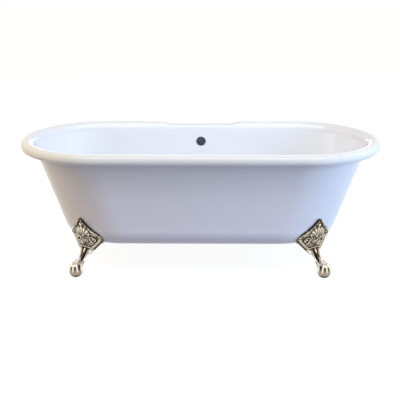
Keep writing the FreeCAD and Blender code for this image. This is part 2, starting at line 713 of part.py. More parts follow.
def stopper():
    """Press-down stopper: its plunger slides in a cartridge that the strainer's crossbar holds."""
    cartridge_top = f"({STRAINER_BOTTOM} + sizes.cartridge_length)"
    barrel = cylinder("cartridge_barrel", "sizes.cartridge_radius", "sizes.cartridge_length",
                      z=STRAINER_BOTTOM, **WASTE)
    bore = cylinder("cartridge_bore", "sizes.plunger_radius + sizes.plunger_clearance",
                    "sizes.cartridge_length", z=f"{STRAINER_BOTTOM} + sizes.crossbar_height / 2", **WASTE)
    finish(cut("cartridge", barrel, bore), "stopper_cartridge")
    seal_base = STRAINER_TOP
    ring_piece("stopper_seal_ring", "stopper_seal", "sizes.seal_radius + sizes.seal_width / 2",
               "sizes.seal_radius - sizes.seal_width / 2", "sizes.seal_thickness", z=seal_base, **WASTE)
    cap_base = f"({seal_base} + sizes.seal_thickness)"
    finish(cylinder("plunger", "sizes.plunger_radius", "sizes.plunger_length",
                    z=f"{cap_base} - sizes.plunger_length", **WASTE), "stopper_plunger")
    cap = primitive("Cone", "cap", Radius1="sizes.stopper_radius", Radius2="sizes.stopper_radius / 2",
                    Height="sizes.stopper_crown", z=cap_base, **WASTE)
    finish(cap, "stopper_cap")


def pipe(name, radius, length, turn=None, **place):
    """A length of thin-walled pipe."""
    body = cylinder(f"{name}_body", radius, length, turn, **place)
    bore = cylinder(f"{name}_bore", f"{radius} - sizes.pipe_wall", length, turn, **place)
    return body, bore


TEE_TOP = "(sizes.branch_height + sizes.tee_half_height)"
TEE_BOTTOM = "(sizes.branch_height - sizes.tee_half_height)"
RISER_OFFSET = f"({OVERFLOW_SEAT} + sizes.riser_setback)"
BRANCH_END = f"({RISER_OFFSET} - sizes.tee_branch_reach)"
ELBOW_FACE = f"({OVERFLOW_SEAT} + sizes.gasket_thickness)"
ELBOW_BOTTOM = f"({OVERFLOW_HEIGHT} - sizes.elbow_drop)"
RISER = {"y": RISER_OFFSET}


def tee():
    """Joins the arm, the narrower riser and the tailpiece behind the tub."""
    lower = cylinder("tee_lower", socket_radius(PIPE), "sizes.tee_half_height", z=TEE_BOTTOM, **RISER)
    upper = cylinder("tee_upper", socket_radius(RISER_PIPE), "sizes.tee_half_height",
                     z="sizes.branch_height", **RISER)
    belly = cylinder("tee_belly", "sizes.tee_belly_radius", "2 * sizes.tee_belly_half_height",
                     z="sizes.branch_height - sizes.tee_belly_half_height", **RISER)
    branch = cylinder("tee_branch", socket_radius(PIPE), "sizes.tee_branch_reach", ALONG_Y,
                      y=BRANCH_END, z="sizes.branch_height")
    lower_bore = cylinder("tee_lower_bore", socket_bore(PIPE), "sizes.tee_half_height", z=TEE_BOTTOM, **RISER)
    upper_bore = cylinder("tee_upper_bore", socket_bore(RISER_PIPE), "sizes.tee_half_height",
                          z="sizes.branch_height", **RISER)
    chamber_half = "(sizes.tee_half_height - sizes.socket_depth)"
    chamber = cylinder("tee_chamber", f"{socket_bore(PIPE)} + sizes.tee_chamber_margin",
                       f"2 * {chamber_half}", z=f"sizes.branch_height - {chamber_half}", **RISER)
    branch_bore = cylinder("tee_branch_bore", socket_bore(PIPE), "sizes.tee_branch_reach", ALONG_Y,
                           y=BRANCH_END, z="sizes.branch_height")
    body = fuse("tee_body", lower, upper, belly, branch)
    finish(cut("tee", body, lower_bore, upper_bore, chamber, branch_bore), "waste_tee")


def overflow_elbow():
    """Cup behind the overflow hole, with a neck that the riser enters from below."""
    flange = cylinder("elbow_flange", "sizes.elbow_flange_radius", "sizes.elbow_flange_thickness", ALONG_Y,
                      y=ELBOW_FACE, z=OVERFLOW_HEIGHT)
    cup = cylinder("elbow_cup", "sizes.elbow_radius", "sizes.elbow_depth", ALONG_Y,
                   y=ELBOW_FACE, z=OVERFLOW_HEIGHT)
    neck = cylinder("elbow_neck", socket_radius(RISER_PIPE), "sizes.elbow_drop", z=ELBOW_BOTTOM, **RISER)
    throat = cylinder("elbow_throat", "sizes.elbow_radius - sizes.elbow_wall",
                      "sizes.elbow_depth - sizes.elbow_wall", ALONG_Y, y=ELBOW_FACE, z=OVERFLOW_HEIGHT)
    bore = cylinder("elbow_bore", socket_bore(RISER_PIPE), "sizes.elbow_drop", z=ELBOW_BOTTOM, **RISER)
    finish(cut("elbow", fuse("elbow_body", flange, cup, neck), throat, bore), "overflow_elbow")


def slip_joint(name, pipe_radius, turn, **place):
    """A slip nut and its washer over a socket's end; the socket points along the piece's own -Z."""
    bore, outside = socket_bore(pipe_radius), socket_radius(pipe_radius)
    nut = hexagon(f"{name}_hexagon", f"2 * ({outside} + sizes.nut_ring_wall)", "sizes.nut_ring_length")
    thread = cylinder(f"{name}_thread", f"{outside} + sizes.thread_clearance", "sizes.nut_ring_length",
                      z="sizes.nut_ring_lip")
    hole = cylinder(f"{name}_hole", f"{bore} + sizes.thread_clearance", "sizes.nut_ring_length")
    nut = group(f"{name}_nut", [cut(f"{name}_nut_body", nut, thread, hole)])
    washer = group(f"{name}_washer", [ring_piece(
        f"{name}_ring", None, f"{outside} - sizes.thread_clearance",
        f"{bore} - sizes.pipe_clearance / 2", "sizes.slip_washer_thickness", z="sizes.nut_ring_lip")])
    for thing in (nut, washer):
        thing.Placement = Placement(Vector(), turn)
        bind(thing, **place)
    return nut, washer


def pipework():
    """Arm, riser and tailpiece, with the slip joints that hold them."""
    upright = Rotation()
    upside_down = Rotation(Vector(1, 0, 0), 180)
    # A joint's place is the open end of its nut, a lip and a washer beyond the socket's end
    beyond = "(sizes.nut_ring_lip + sizes.slip_washer_thickness)"
    joints = [
        slip_joint("arm_joint", PIPE, ALONG_Y, y=f"{BRANCH_END} - {beyond}", z="sizes.branch_height"),
        slip_joint("riser_joint", RISER_PIPE, upside_down, z=f"{TEE_TOP} + {beyond}", **RISER),
        slip_joint("tailpiece_joint", PIPE, upright, z=f"{TEE_BOTTOM} - {beyond}", **RISER),
        slip_joint("overflow_joint", RISER_PIPE, upright, z=f"{ELBOW_BOTTOM} - {beyond}", **RISER),
    ]
    finish(group("slip_nuts", [nut for nut, washer in joints]), "slip_nuts")
    finish(group("slip_washers", [washer for nut, washer in joints]), "slip_washers")
    arm_start = "(sizes.waste_offset + sizes.shoe_radius)"
    finish(cut("arm", *pipe("waste_arm", PIPE, f"{BRANCH_END} + sizes.socket_depth - {arm_start}", ALONG_Y,
                            y=arm_start, z="sizes.branch_height")), "waste_arm")
    riser_start = f"({TEE_TOP} - sizes.socket_depth)"
    riser_length = f"{ELBOW_BOTTOM} + sizes.socket_depth - {riser_start}"
    finish(cut("riser", *pipe("overflow_riser", RISER_PIPE, riser_length, z=riser_start, **RISER)),
           "overflow_riser")
    # The tailpiece has a bead rolled round it, above the length that a trap's nut grips
    body, bore = pipe("tailpiece", PIPE, f"{TEE_BOTTOM} + sizes.socket_depth - sizes.tailpiece_end_height",
                      z="sizes.tailpiece_end_height", **RISER)
    bead = cylinder("tailpiece_bead", "sizes.tailpiece_bead_radius", "sizes.tailpiece_bead_height",
                    z="sizes.tailpiece_end_height + sizes.tailpiece_grip", **RISER)
    finish(cut("tail", fuse("tailpiece_whole", body, bead), bore), "tailpiece")


tub_shell()
feet()
foot_fasteners()
waste_strainer()
ring_piece("waste_gasket_ring", "waste_gasket", "sizes.shoe_flange_radius",
           "sizes.strainer_radius + 2 * sizes.thread_clearance", "sizes.gasket_thickness",
           z=SHOE_TOP, **WASTE)
waste_shoe()
stopper()
pipework()
tee()
overflow_elbow()
ring_piece("overflow_gasket_ring", "overflow_gasket", "sizes.elbow_flange_radius",
           "sizes.overflow_hole_radius", "sizes.gasket_thickness", ALONG_Y,
           y=OVERFLOW_SEAT, z=OVERFLOW_HEIGHT)
doc.recompute()

for thing in doc.Objects:
    if "Invalid" in thing.State or "Error" in thing.State:
        raise RuntimeError(f"{thing.Name} failed: {thing.State}")
for thing in SUBPARTS:
    if thing.Shape.isNull() or not thing.Shape.isValid() or not thing.Shape.Solids:
        raise RuntimeError(f"{thing.Label} has no valid solid")

os.makedirs("parts", exist_ok=True)
for thing in SUBPARTS:
    thing.Shape.exportStep(f"parts/{thing.Label}.step")
    print(f"{thing.Label}: {len(thing.Shape.Solids)} solid(s), {thing.Shape.Volume / 1000:.1f} cm3")
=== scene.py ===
import math

import bmesh
import bpy
import numpy as np
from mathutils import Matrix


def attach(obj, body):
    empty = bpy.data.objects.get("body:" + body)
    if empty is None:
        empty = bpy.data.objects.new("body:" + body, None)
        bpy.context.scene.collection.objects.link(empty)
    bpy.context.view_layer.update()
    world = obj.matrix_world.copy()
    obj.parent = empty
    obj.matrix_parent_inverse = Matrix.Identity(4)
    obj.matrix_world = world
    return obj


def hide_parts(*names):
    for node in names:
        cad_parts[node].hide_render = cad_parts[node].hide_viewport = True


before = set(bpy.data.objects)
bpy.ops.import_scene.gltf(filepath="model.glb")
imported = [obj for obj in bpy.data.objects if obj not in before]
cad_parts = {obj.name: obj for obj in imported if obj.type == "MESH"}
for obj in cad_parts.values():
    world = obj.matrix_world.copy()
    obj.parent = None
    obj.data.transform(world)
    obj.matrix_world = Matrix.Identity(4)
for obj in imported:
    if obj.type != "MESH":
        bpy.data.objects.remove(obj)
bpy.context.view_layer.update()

MM = 0.001
MERGED_WITHIN, SLIVER = 0.00001, 0.000005    # in metres

# ---------------------------------------------------------------- driving sizes, in millimetres
# Rolled rim: overall size and the three arcs of its section
RIM_HALF_LENGTH = 851.0
RIM_HALF_WIDTH = 381.0
RIM_HEIGHT = 597.0
ROLL_INNER, ROLL_OUTER, ROLL_LIP = 37.0, 29.0, 18.0
WALL = 8.0

# Outer wall: from the bottom's edge to the shoulder, then flaring to the root of the roll
BOTTOM = {"half_length": 637.0, "half_width": 294.0, "height": 140.0, "round": 80.0}
SHOULDER_HEIGHT = 478.0
SHOULDER = {"half_length": 757.0, "half_width": 318.0}
SHOULDER_BEND = 30.0
FLOOR_THICKNESS = 10.0
ROUND_STEPS, WALL_STEPS = 28, 60    # rows of its mesh

# Tap deck in the far rim
DECK_HALF_LENGTH, DECK_SLOPE, DECK_DROP, DECK_SOFTNESS = 146.0, 63.0, 16.0, 1.6

# Holes
OVERFLOW_HEIGHT, OVERFLOW_RADIUS = 498.0, 25.0
OVERFLOW_CUT = (250.0, 400.0)
SEAT_REACH, SEAT_RADIUS, SEAT_DEPTH = 327.0, 36.0, 11.2
WASTE_OFFSET, WASTE_HOLE_RADIUS, RECESS_RADIUS, RECESS_DEPTH = 130.0, 27.0, 38.0, 2.5
CUT_ABOVE_FLOOR, CUT_BELOW_FLOOR = 60.0, 50.0

# Feet: each stands on a line from the centre of the tub's round end, this far from the middle
FOOT_CENTRE, FOOT_ANGLE = 366.0, math.radians(35.3)
LEAST_REACH, MOST_REACH, HALVINGS = 150.0, 420.0, 26    # where the tub's wall is looked for
BALL_REACH, BALL_RADIUS, BALL_FLAT = 361.5, 31.0, 2.0
SHELF = {"reach": (178.0, 276.0), "half_width": 24.0, "height": (118.7, 128.7)}
WEB = {"reach": (222.0, 290.0), "half_width": 8.0, "height": (103.7, 121.0)}

# Outline of a foot's shield: its half width at each height
SHIELD_HEIGHTS = [90.0, 96.0, 165.0, 175.0, 186.0, 206.0, 222.0, 240.0, 256.0, 265.0, 272.0]
SHIELD_HALF_WIDTHS = [19.0, 27.0, 91.0, 98.0, 94.0, 77.0, 56.0, 32.0, 18.0, 11.0, 2.5]
SHIELD_EDGE_SLOPE = 0.62
SHIELD_GAP, SHIELD_GROUND, SHIELD_RELIEF = 0.5, 10.0, 5.6
SHIELD_PIT, SHIELD_THINNEST = 5.0, 8.0
SHIELD_ROWS, SHIELD_COLUMNS = 150, 151    # points of its mesh, upwards and across
NECK_HEIGHT, FIELD_FOOT, BORDER_TOP = 119.0, 128.0, 178.0

# Front of a foot under the tub's edge: how far its ground reaches at each height, where it hands
# over to the tub's curve, and how far the shield's outer corners then fall back
FRONT_HEIGHTS = [90.0, 98.0, 108.0, 118.0, 130.0, 145.0, 160.0, 178.0]
FRONT_REACHES = [300.0, 297.0, 293.5, 291.0, 289.0, 288.0, 288.5, 291.0]
FRONT_TO_TUB, LOWEST_ON_TUB = (146.0, 184.0), 150.0
CORNER_DROP, CORNER_FROM, CORNER_TO = 6.5, 52.0, 94.0

# Small lobes of the shield's upper edge, and the cast pad and raised line on the tub
LOBE_PITCH, LOBE_DEPTH = 12.5, 2.2
PAD_MARGIN, PAD_HEIGHT, PAD_EDGE = 13.0, 1.6, 4.0
PAD_BOTTOM, PAD_TOP = (146.0, 168.0), (282.0, 292.0)
RIDGE_HEIGHT, RIDGE_HALF_WIDTH, RIDGE_LIFT = 0.7, 14.0, 3.0

# Edges that bend by more than this many degrees stay sharp
TUB_CREASE, FOOT_CREASE = 35, 50


# ---------------------------------------------------------------- mesh helpers

def smooth_step(value, low, high):
    """0 below low, 1 above high, and a smooth S between them."""
    t = np.clip((value - low) / (high - low), 0.0, 1.0)
    return t * t * (3 - 2 * t)


def hump(distance, width):
    """A round-topped ridge: cosine bell of the given half width, nothing outside it."""
    t = np.clip(np.abs(distance) / width, 0.0, 1.0)
    return 0.5 + 0.5 * np.cos(np.pi * t)


def grid_faces(rows, columns):
    """Quads of a grid of points, numbered row by row; the last column joins the first."""
    row = np.arange(rows - 1)[:, None] * columns
    column = np.arange(columns)[None, :]
    here, beside = row + column, row + (column + 1) % columns
    return np.stack([here, beside, beside + columns, here + columns], -1).reshape(-1, 4)


def make_piece(name, blocks, material, crease=None, attributes=None):
    """One closed mesh from several (points, quads) blocks given in millimetres.

    Doubles are merged and faces turned outwards; edges sharper than crease degrees stay sharp.
    """
    points, quads, start = [], [], 0
    for block_points, block_quads in blocks:
        points.append(block_points.reshape(-1, 3))
        quads.append(block_quads + start)
        start += len(points[-1])
    points, quads = np.concatenate(points) * MM, np.concatenate(quads)
    mesh = bpy.data.meshes.new(name)
    mesh.vertices.add(len(points))
    mesh.vertices.foreach_set("co", points.astype(np.float32).ravel())
    mesh.loops.add(quads.size)
    mesh.loops.foreach_set("vertex_index", quads.astype(np.int32).ravel())
    mesh.polygons.add(len(quads))
    mesh.polygons.foreach_set("loop_start", np.arange(0, quads.size, 4, dtype=np.int32))
    mesh.polygons.foreach_set("loop_total", np.full(len(quads), 4, dtype=np.int32))
    mesh.update(calc_edges=True)
    for key, values in (attributes or {}).items():
        mesh.attributes.new(key, "FLOAT", "POINT").data.foreach_set("value", values.astype(np.float32))
    work = bmesh.new()
    work.from_mesh(mesh)
    bmesh.ops.remove_doubles(work, verts=work.verts, dist=MERGED_WITHIN)
    bmesh.ops.dissolve_degenerate(work, edges=work.edges, dist=SLIVER)
    bmesh.ops.recalc_face_normals(work, faces=work.faces)
    work.to_mesh(mesh)
    work.free()
    mesh.polygons.foreach_set("use_smooth", np.ones(len(mesh.polygons), dtype=bool))
    if crease:
        mesh.set_sharp_from_angle(angle=math.radians(crease))
    mesh.materials.append(material)
    piece = bpy.data.objects.new(name, mesh)
    bpy.context.scene.collection.objects.link(piece)
    return piece


# ---------------------------------------------------------------- materials

def new_material(name):
    """A fresh node material, its node tree and its main shader."""
    material = bpy.data.materials.new(name)
    material.use_nodes = True
    tree = material.node_tree
    shader = tree.nodes["Principled BSDF"]
    return material, tree, shader


def node(tree, kind, **values):
    """A shader node with the given socket values and settings."""
    made = tree.nodes.new(f"ShaderNode{kind}")
    for key, value in values.items():
        if key in made.inputs:
            made.inputs[key].default_value = value
        else:
            setattr(made, key, value)
    return made


def noise(tree, coordinates, scale, detail=2.0, roughness=0.5):
    """Cloudy noise over the given coordinates; scale counts clouds to the metre."""
    made = node(tree, "TexNoise", Scale=scale, Detail=detail, Roughness=roughness)
    tree.links.new(coordinates, made.inputs["Vector"])
    return made


def ramp(tree, source, stops):
    """Turns a number into a colour through (place, colour) stops."""
    made = tree.nodes.new("ShaderNodeValToRGB")
    while len(made.color_ramp.elements) < len(stops):
        made.color_ramp.elements.new(0.5)
    for element, (place, colour) in zip(made.color_ramp.elements, stops):
        element.position = place
        element.color = (*colour, 1.0)
    tree.links.new(source, made.inputs["Fac"])
    return made


def object_coordinates(tree):
    """The piece's own coordinates, in metres."""
    return tree.nodes.new("ShaderNodeTexCoord").outputs["Object"]


def bump(tree, shader, height, distance, strength):
    """Fine unevenness of the surface, from a number, with its depth in metres."""
    made = node(tree, "Bump", Distance=distance, Strength=strength)
    tree.links.new(height, made.inputs["Height"])
    tree.links.new(made.outputs["Normal"], shader.inputs["Normal"])


def enamel():
    """White vitreous enamel: very smooth, with the faint long waves of a fired coat on cast iron."""
    material, tree, shader = new_material("enamel")
    where = object_coordinates(tree)
    tint = noise(tree, where, scale=2.3, detail=3.0)
    colour = ramp(tree, tint.outputs["Fac"], [(0.3, (0.80, 0.81, 0.83)), (0.7, (0.82, 0.83, 0.85))])
    tree.links.new(colour.outputs["Color"], shader.inputs["Base Color"])
    gloss = noise(tree, where, scale=9.0, detail=4.0)
    rough = node(tree, "MapRange", **{"To Min": 0.06, "To Max": 0.12})
    tree.links.new(gloss.outputs["Fac"], rough.inputs["Value"])
    tree.links.new(rough.outputs["Result"], shader.inputs["Roughness"])
    shader.inputs["IOR"].default_value = 1.5
    waves = noise(tree, where, scale=26.0, detail=1.0)
    bump(tree, shader, waves.outputs["Fac"], distance=0.0004, strength=0.35)
    return material


def nickel():
    """Brushed nickel on a casting, with painted highlights on the high places and painted shade in the
    recesses.
    """
    material, tree, shader = new_material("brushed_nickel")
    where = object_coordinates(tree)
    # The attribute carries painted light and shade: near 1 for painted highlights, near 0 for painted
    # shade.
    depth = node(tree, "Attribute", attribute_name="painted_light_share")
    cloud = noise(tree, where, scale=60.0, detail=4.0, roughness=0.6)
    mixed = node(tree, "Math", operation="MULTIPLY_ADD")
    tree.links.new(cloud.outputs["Fac"], mixed.inputs[0])
    mixed.inputs[1].default_value = 0.24
    tree.links.new(depth.outputs["Fac"], mixed.inputs[2])
    # Dark stops give painted shade and bright stops give painted highlights, over the cloudy tone of the
    # nickel itself.
    colour = ramp(tree, mixed.outputs["Value"], [
        (0.12, (0.020, 0.015, 0.010)), (0.34, (0.13, 0.108, 0.078)),
        (0.55, (0.46, 0.395, 0.30)), (0.85, (0.86, 0.80, 0.69))])
    tree.links.new(colour.outputs["Color"], shader.inputs["Base Color"])
    shader.inputs["Metallic"].default_value = 1.0
    rough = ramp(tree, mixed.outputs["Value"], [(0.2, (0.55,) * 3), (0.7, (0.22,) * 3)])
    tree.links.new(rough.outputs["Color"], shader.inputs["Roughness"])
    grain = noise(tree, where, scale=900.0)
    bump(tree, shader, grain.outputs["Fac"], distance=0.00008, strength=0.4)
    return material


def plated(name, colour, darker, roughness, metallic=1.0):
    """Plated or bare metal, slightly cloudy in tone and in gloss."""
    material, tree, shader = new_material(name)
    where = object_coordinates(tree)
    cloud = noise(tree, where, scale=40.0, detail=4.0)
    tone = ramp(tree, cloud.outputs["Fac"], [(0.3, darker), (0.7, colour)])
    tree.links.new(tone.outputs["Color"], shader.inputs["Base Color"])
    shader.inputs["Metallic"].default_value = metallic
    rough = node(tree, "MapRange", **{"To Min": roughness * 0.8, "To Max": roughness * 1.3})
    tree.links.new(cloud.outputs["Fac"], rough.inputs["Value"])
    tree.links.new(rough.outputs["Result"], shader.inputs["Roughness"])
    grain = noise(tree, where, scale=500.0)
    bump(tree, shader, grain.outputs["Fac"], distance=0.0001, strength=0.25)
    return material


ENAMEL = enamel()
NICKEL = nickel()
PLATE = plated("polished_plate", (0.62, 0.59, 0.53), (0.53, 0.50, 0.45), 0.18)
CAST_BRASS = plated("cast_brass", (0.62, 0.49, 0.27), (0.48, 0.37, 0.19), 0.42)
# The overflow elbow: a real brass piece, given a flat blue-grey that is painted shade of its throat, seen
# through the overflow hole.
THROAT_SHADE_GREY = plated("dark_brass", (0.46, 0.49, 0.58), (0.40, 0.43, 0.52), 0.6, 0.0)
ZINC = plated("zinc_plate", (0.60, 0.61, 0.64), (0.50, 0.51, 0.54), 0.32)
RUBBER = plated("black_rubber", (0.035, 0.035, 0.038), (0.022, 0.022, 0.024), 0.7, 0.0)


# ---------------------------------------------------------------- feet

def shield_half_width(height):
    """Half the shield's width at a height, by straight lines between the outline's corners."""
    return np.interp(height, SHIELD_HEIGHTS, SHIELD_HALF_WIDTHS)


def shield_scallops(height):
    """The small lobes along the upper edges, where the leaf border curls over.

    Each lobe is half a sine wave; they fade to nothing at both ends of the edge.
    """
    wave = np.abs(np.sin(height * math.pi / LOBE_PITCH))
    return LOBE_DEPTH * (wave - 0.5) * hump(height - 224, 36)


def foot_point(reach, lateral, height):
    """From a foot's own line (reach, lateral, height) to the tub's frame, for the front right foot."""
    sine, cosine = math.sin(FOOT_ANGLE), math.cos(FOOT_ANGLE)
    reach, lateral, height = np.broadcast_arrays(reach, lateral, height)
    return np.stack([FOOT_CENTRE + reach * sine + lateral * cosine,
                     -reach * cosine + lateral * sine, height], -1)


def tub_reach(lateral, height, grow):
    """How far along the foot's line the grown tub surface lies: halving on its level outline."""
    rows = wall_rows(grow, grow)
    half_width = np.interp(height, rows[:, 1], rows[:, 0])
    straight = np.interp(height, rows[:, 3], rows[:, 2]) - half_width
    near, far = np.full(np.shape(height), LEAST_REACH), np.full(np.shape(height), MOST_REACH)
    for _ in range(HALVINGS):
        middle = (near + far) / 2
        x, y = np.moveaxis(foot_point(middle, lateral, height)[..., :2], -1, 0)
        outside = np.hypot(np.maximum(x - straight, 0), y) > half_width
        near, far = np.where(outside, near, middle), np.where(outside, middle, far)
    return near


def line_distance(p, q, line):
    """Distance from points (p, q) to a smooth line through the given points."""
    line = smooth_path(np.array(line, float), 12)
    best = np.full(np.shape(p), 1e9)
    for x, y in line:
        best = np.minimum(best, np.hypot(p - x, q - y))
    return best


def smooth_path(points, steps):
    """A smooth line through points: four-point blend between each pair of neighbours."""
    padded = np.concatenate([[2 * points[0] - points[1]], points, [2 * points[-1] - points[-2]]])
    t = np.linspace(0, 1, steps, endpoint=False)[:, None]
    pieces = []
    for a, b, c, d in zip(padded, padded[1:], padded[2:], padded[3:]):
        pieces.append(0.5 * (2 * b + (c - a) * t + (2 * a - 5 * b + 4 * c - d) * t ** 2
                             + (3 * b - a - 3 * c + d) * t ** 3))
    return np.concatenate(pieces + [points[-1:]])


def dome(p, q, centre, size, turn=0.0):
    """A rounded boss: 1 at its centre, 0 at the edge of an ellipse of the given half sizes."""
    dx, dy = p - centre[0], q - centre[1]
    along = dx * math.cos(turn) + dy * math.sin(turn)
    across = -dx * math.sin(turn) + dy * math.cos(turn)
    return np.sqrt(np.clip(1 - (along / size[0]) ** 2 - (across / size[1]) ** 2, 0, 1))


def fan(p, q, hub, spread, inner, outer, ribs):
    """Ribs that spread upwards from a hub, with a scalloped outer edge."""
    radius, angle = np.hypot(p - hub[0], q - hub[1]), np.arctan2(p - hub[0], q - hub[1])
    wave = np.cos(angle * ribs * math.pi / spread)
    within_tips = 1 - smooth_step(radius, outer - 3 + 2.5 * wave, outer + 2.5 * wave)
    within_spread = 1 - smooth_step(np.abs(angle), spread - 0.06, spread + 0.02)
    inside = within_tips * smooth_step(radius, inner - 3, inner) * within_spread
    swell = 0.55 + 0.45 * smooth_step(radius, inner, outer)
    return inside * (0.28 + 0.72 * (0.5 + 0.5 * wave) ** 0.7 * swell)


def volute(p, q, centre):
    """A scroll that winds once round to a round eye: a ridge whose radius grows with its angle.

    Also gives the room round it: 0 within the scroll, 1 outside.
    """
    radius = np.hypot(p - centre[0], q - centre[1])
    angle = np.mod(np.arctan2(q - centre[1], p - centre[0]) + 0.5 * math.pi, 2 * math.pi) / (2 * math.pi)
    height = hump(radius - 10.0 - 9.0 * angle, 4.4)
    return np.maximum(height, dome(p, q, centre, (5.5, 5.5))), smooth_step(radius, 19, 23)


def shield_ornament(lateral, height, half_width):
    """Cast ornament of the shield, from 0 at its ground to 1: border, shell, scrolls and leaves.

    Each form is a height over (p, q), the distance from the middle line and the height; the
    highest one shows. Both halves are alike. Below the neck there are three ribs instead.
    """
    p, q = np.abs(lateral), height
    edge = (half_width - p) * SHIELD_EDGE_SLOPE
    lower = 1 - smooth_step(q, BORDER_TOP - 4, BORDER_TOP + 4)
    lobes = 0.80 + 0.20 * np.cos(q * 2 * math.pi / LOBE_PITCH)
    curled = smooth_step(edge, 0.6, 2.6) * (1 - smooth_step(edge, 5.5 * lobes, 7.5 * lobes)) * lobes
    field = (1 - lower) * smooth_step(edge, 5, 7) + lower * smooth_step(edge, 14, 16)
    field = field * smooth_step(q, FIELD_FOOT - 2, FIELD_FOOT + 2)
    parts = [(1 - lower) * curled, lower * 0.62 * (1 - smooth_step(edge, 13, 15)) + 0 * p]
    parts.append(hump(q - 127 + 0.004 * p ** 2, 4.2) * (p < 46) * 0.9)
    carved = [0.30 + 0 * p, fan(p, q, (0, 186), 1.3, 9, 46, 6), 0.95 * dome(p, q, (0, 186), (7, 7))]
    scroll, clear = volute(p, q, (47, 168))
    for line, width, rise in (
            ([(38, 198), (33, 182), (40, 165), (30, 150), (14, 139)], 4.2, 0.95),
            ([(27, 184), (22, 168), (12, 152)], 3.4, 0.9),
            ([(10, 178), (12, 162), (5, 146)], 3.0, 0.85),
            ([(46, 150), (34, 141), (20, 134)], 3.6, 0.8),
            ([(52, 203), (60, 196), (72, 192)], 3.4, 0.85)):
        carved.append(rise * hump(line_distance(p, q, line), width))
    for centre, size, turn in (
            ((66, 205), (10, 4.4), 2.3), ((53, 216), (12, 4.6), 2.25), ((41, 229), (11, 4.4), 2.15),
            ((28, 241), (9, 4), 2.1), ((0, 158), (4, 9), 0)):
        carved.append(0.9 * dome(p, q, centre, size, turn))
    parts.append(field * np.maximum(np.max(carved, axis=0) * clear, scroll))
    parts.append(dome(p, q, (0, 244), (8, 9)))
    ribs = np.maximum(hump(p, 5.5), smooth_step(p, 13.5, 18.5) * 0.72)
    shape = np.max(parts, axis=0)
    below = 1 - smooth_step(q, NECK_HEIGHT - 2, NECK_HEIGHT + 2)
    shape = shape * (1 - below) + ribs * below
    pit = dome(p, q, (0, 261), (7, 7.5)) > 0
    return np.where(pit, 0.0, shape)


def shield_base(lateral, height, half_width):
    """Reach of the shield's ground: on the tub above, leaving it for the leg's front below.

    The lower front is a line down the middle, and falls back towards the edges with the square
    of the distance from it; the two are blended over the height between them.
    """
    on_tub = tub_reach(lateral, np.maximum(height, LOWEST_ON_TUB), SHIELD_GROUND)
    on_tub = on_tub - CORNER_DROP * smooth_step(np.abs(lateral), CORNER_FROM, CORNER_TO)
    front = np.interp(height, FRONT_HEIGHTS, FRONT_REACHES)
    drop = (4 + 18 * np.clip((height - 94) / 84, 0, 1)) * (lateral / half_width) ** 2
    share = smooth_step(height, *FRONT_TO_TUB)
    return on_tub * share + (front - drop) * (1 - share)


def shield_shade(lateral, height, half_width, carved):
    """Painted light and shade of the shield's face: painted highlights on the relief, grey on the plain
    border, painted shade black in pits.

    Follows the height of the ornament, with painted dark lines of shade at the neck and beside the bead.
    """
    p = np.abs(lateral)
    edge = (half_width - p) * SHIELD_EDGE_SLOPE
    # Painted shade darkens the face along its upper edges, where the shield stands off the tub.
    upper = smooth_step(height, 190, 215)
    painted_light = (0.04 + 0.92 * carved ** 1.6) * (1 - upper * (1 - smooth_step(edge, 1.2, 2.8)))
    # Plain border: grey, darkening as painted shade towards its lower edge.
    border = (1 - smooth_step(height, 170, 182)) * (1 - smooth_step(edge, 13, 15))
    border_shade = 0.06 + 0.40 * smooth_step(edge, 0.5, 8)
    painted_light = painted_light * (1 - border) + border_shade * border
    # Below the neck: painted highlights on the ribs, painted shade between them.
    below = 1 - smooth_step(height, 116, 120)
    painted_light = painted_light * (1 - below) + 0.9 * smooth_step(carved, 0.25, 0.75) * below
    # Painted shade: a dark line under the neck's arched ridge, and dark flanks beside the bead.
    neck_shade = hump(height - 120.5 + 0.004 * p ** 2, 3.0) * (p < 44) * smooth_step(p, 1, 4)
    bead_shade = dome(p, height, (15, 244), (6.5, 10), 0.5) ** 0.5
    return painted_light * (1 - 0.85 * neck_shade) * (1 - 0.9 * bead_shade)


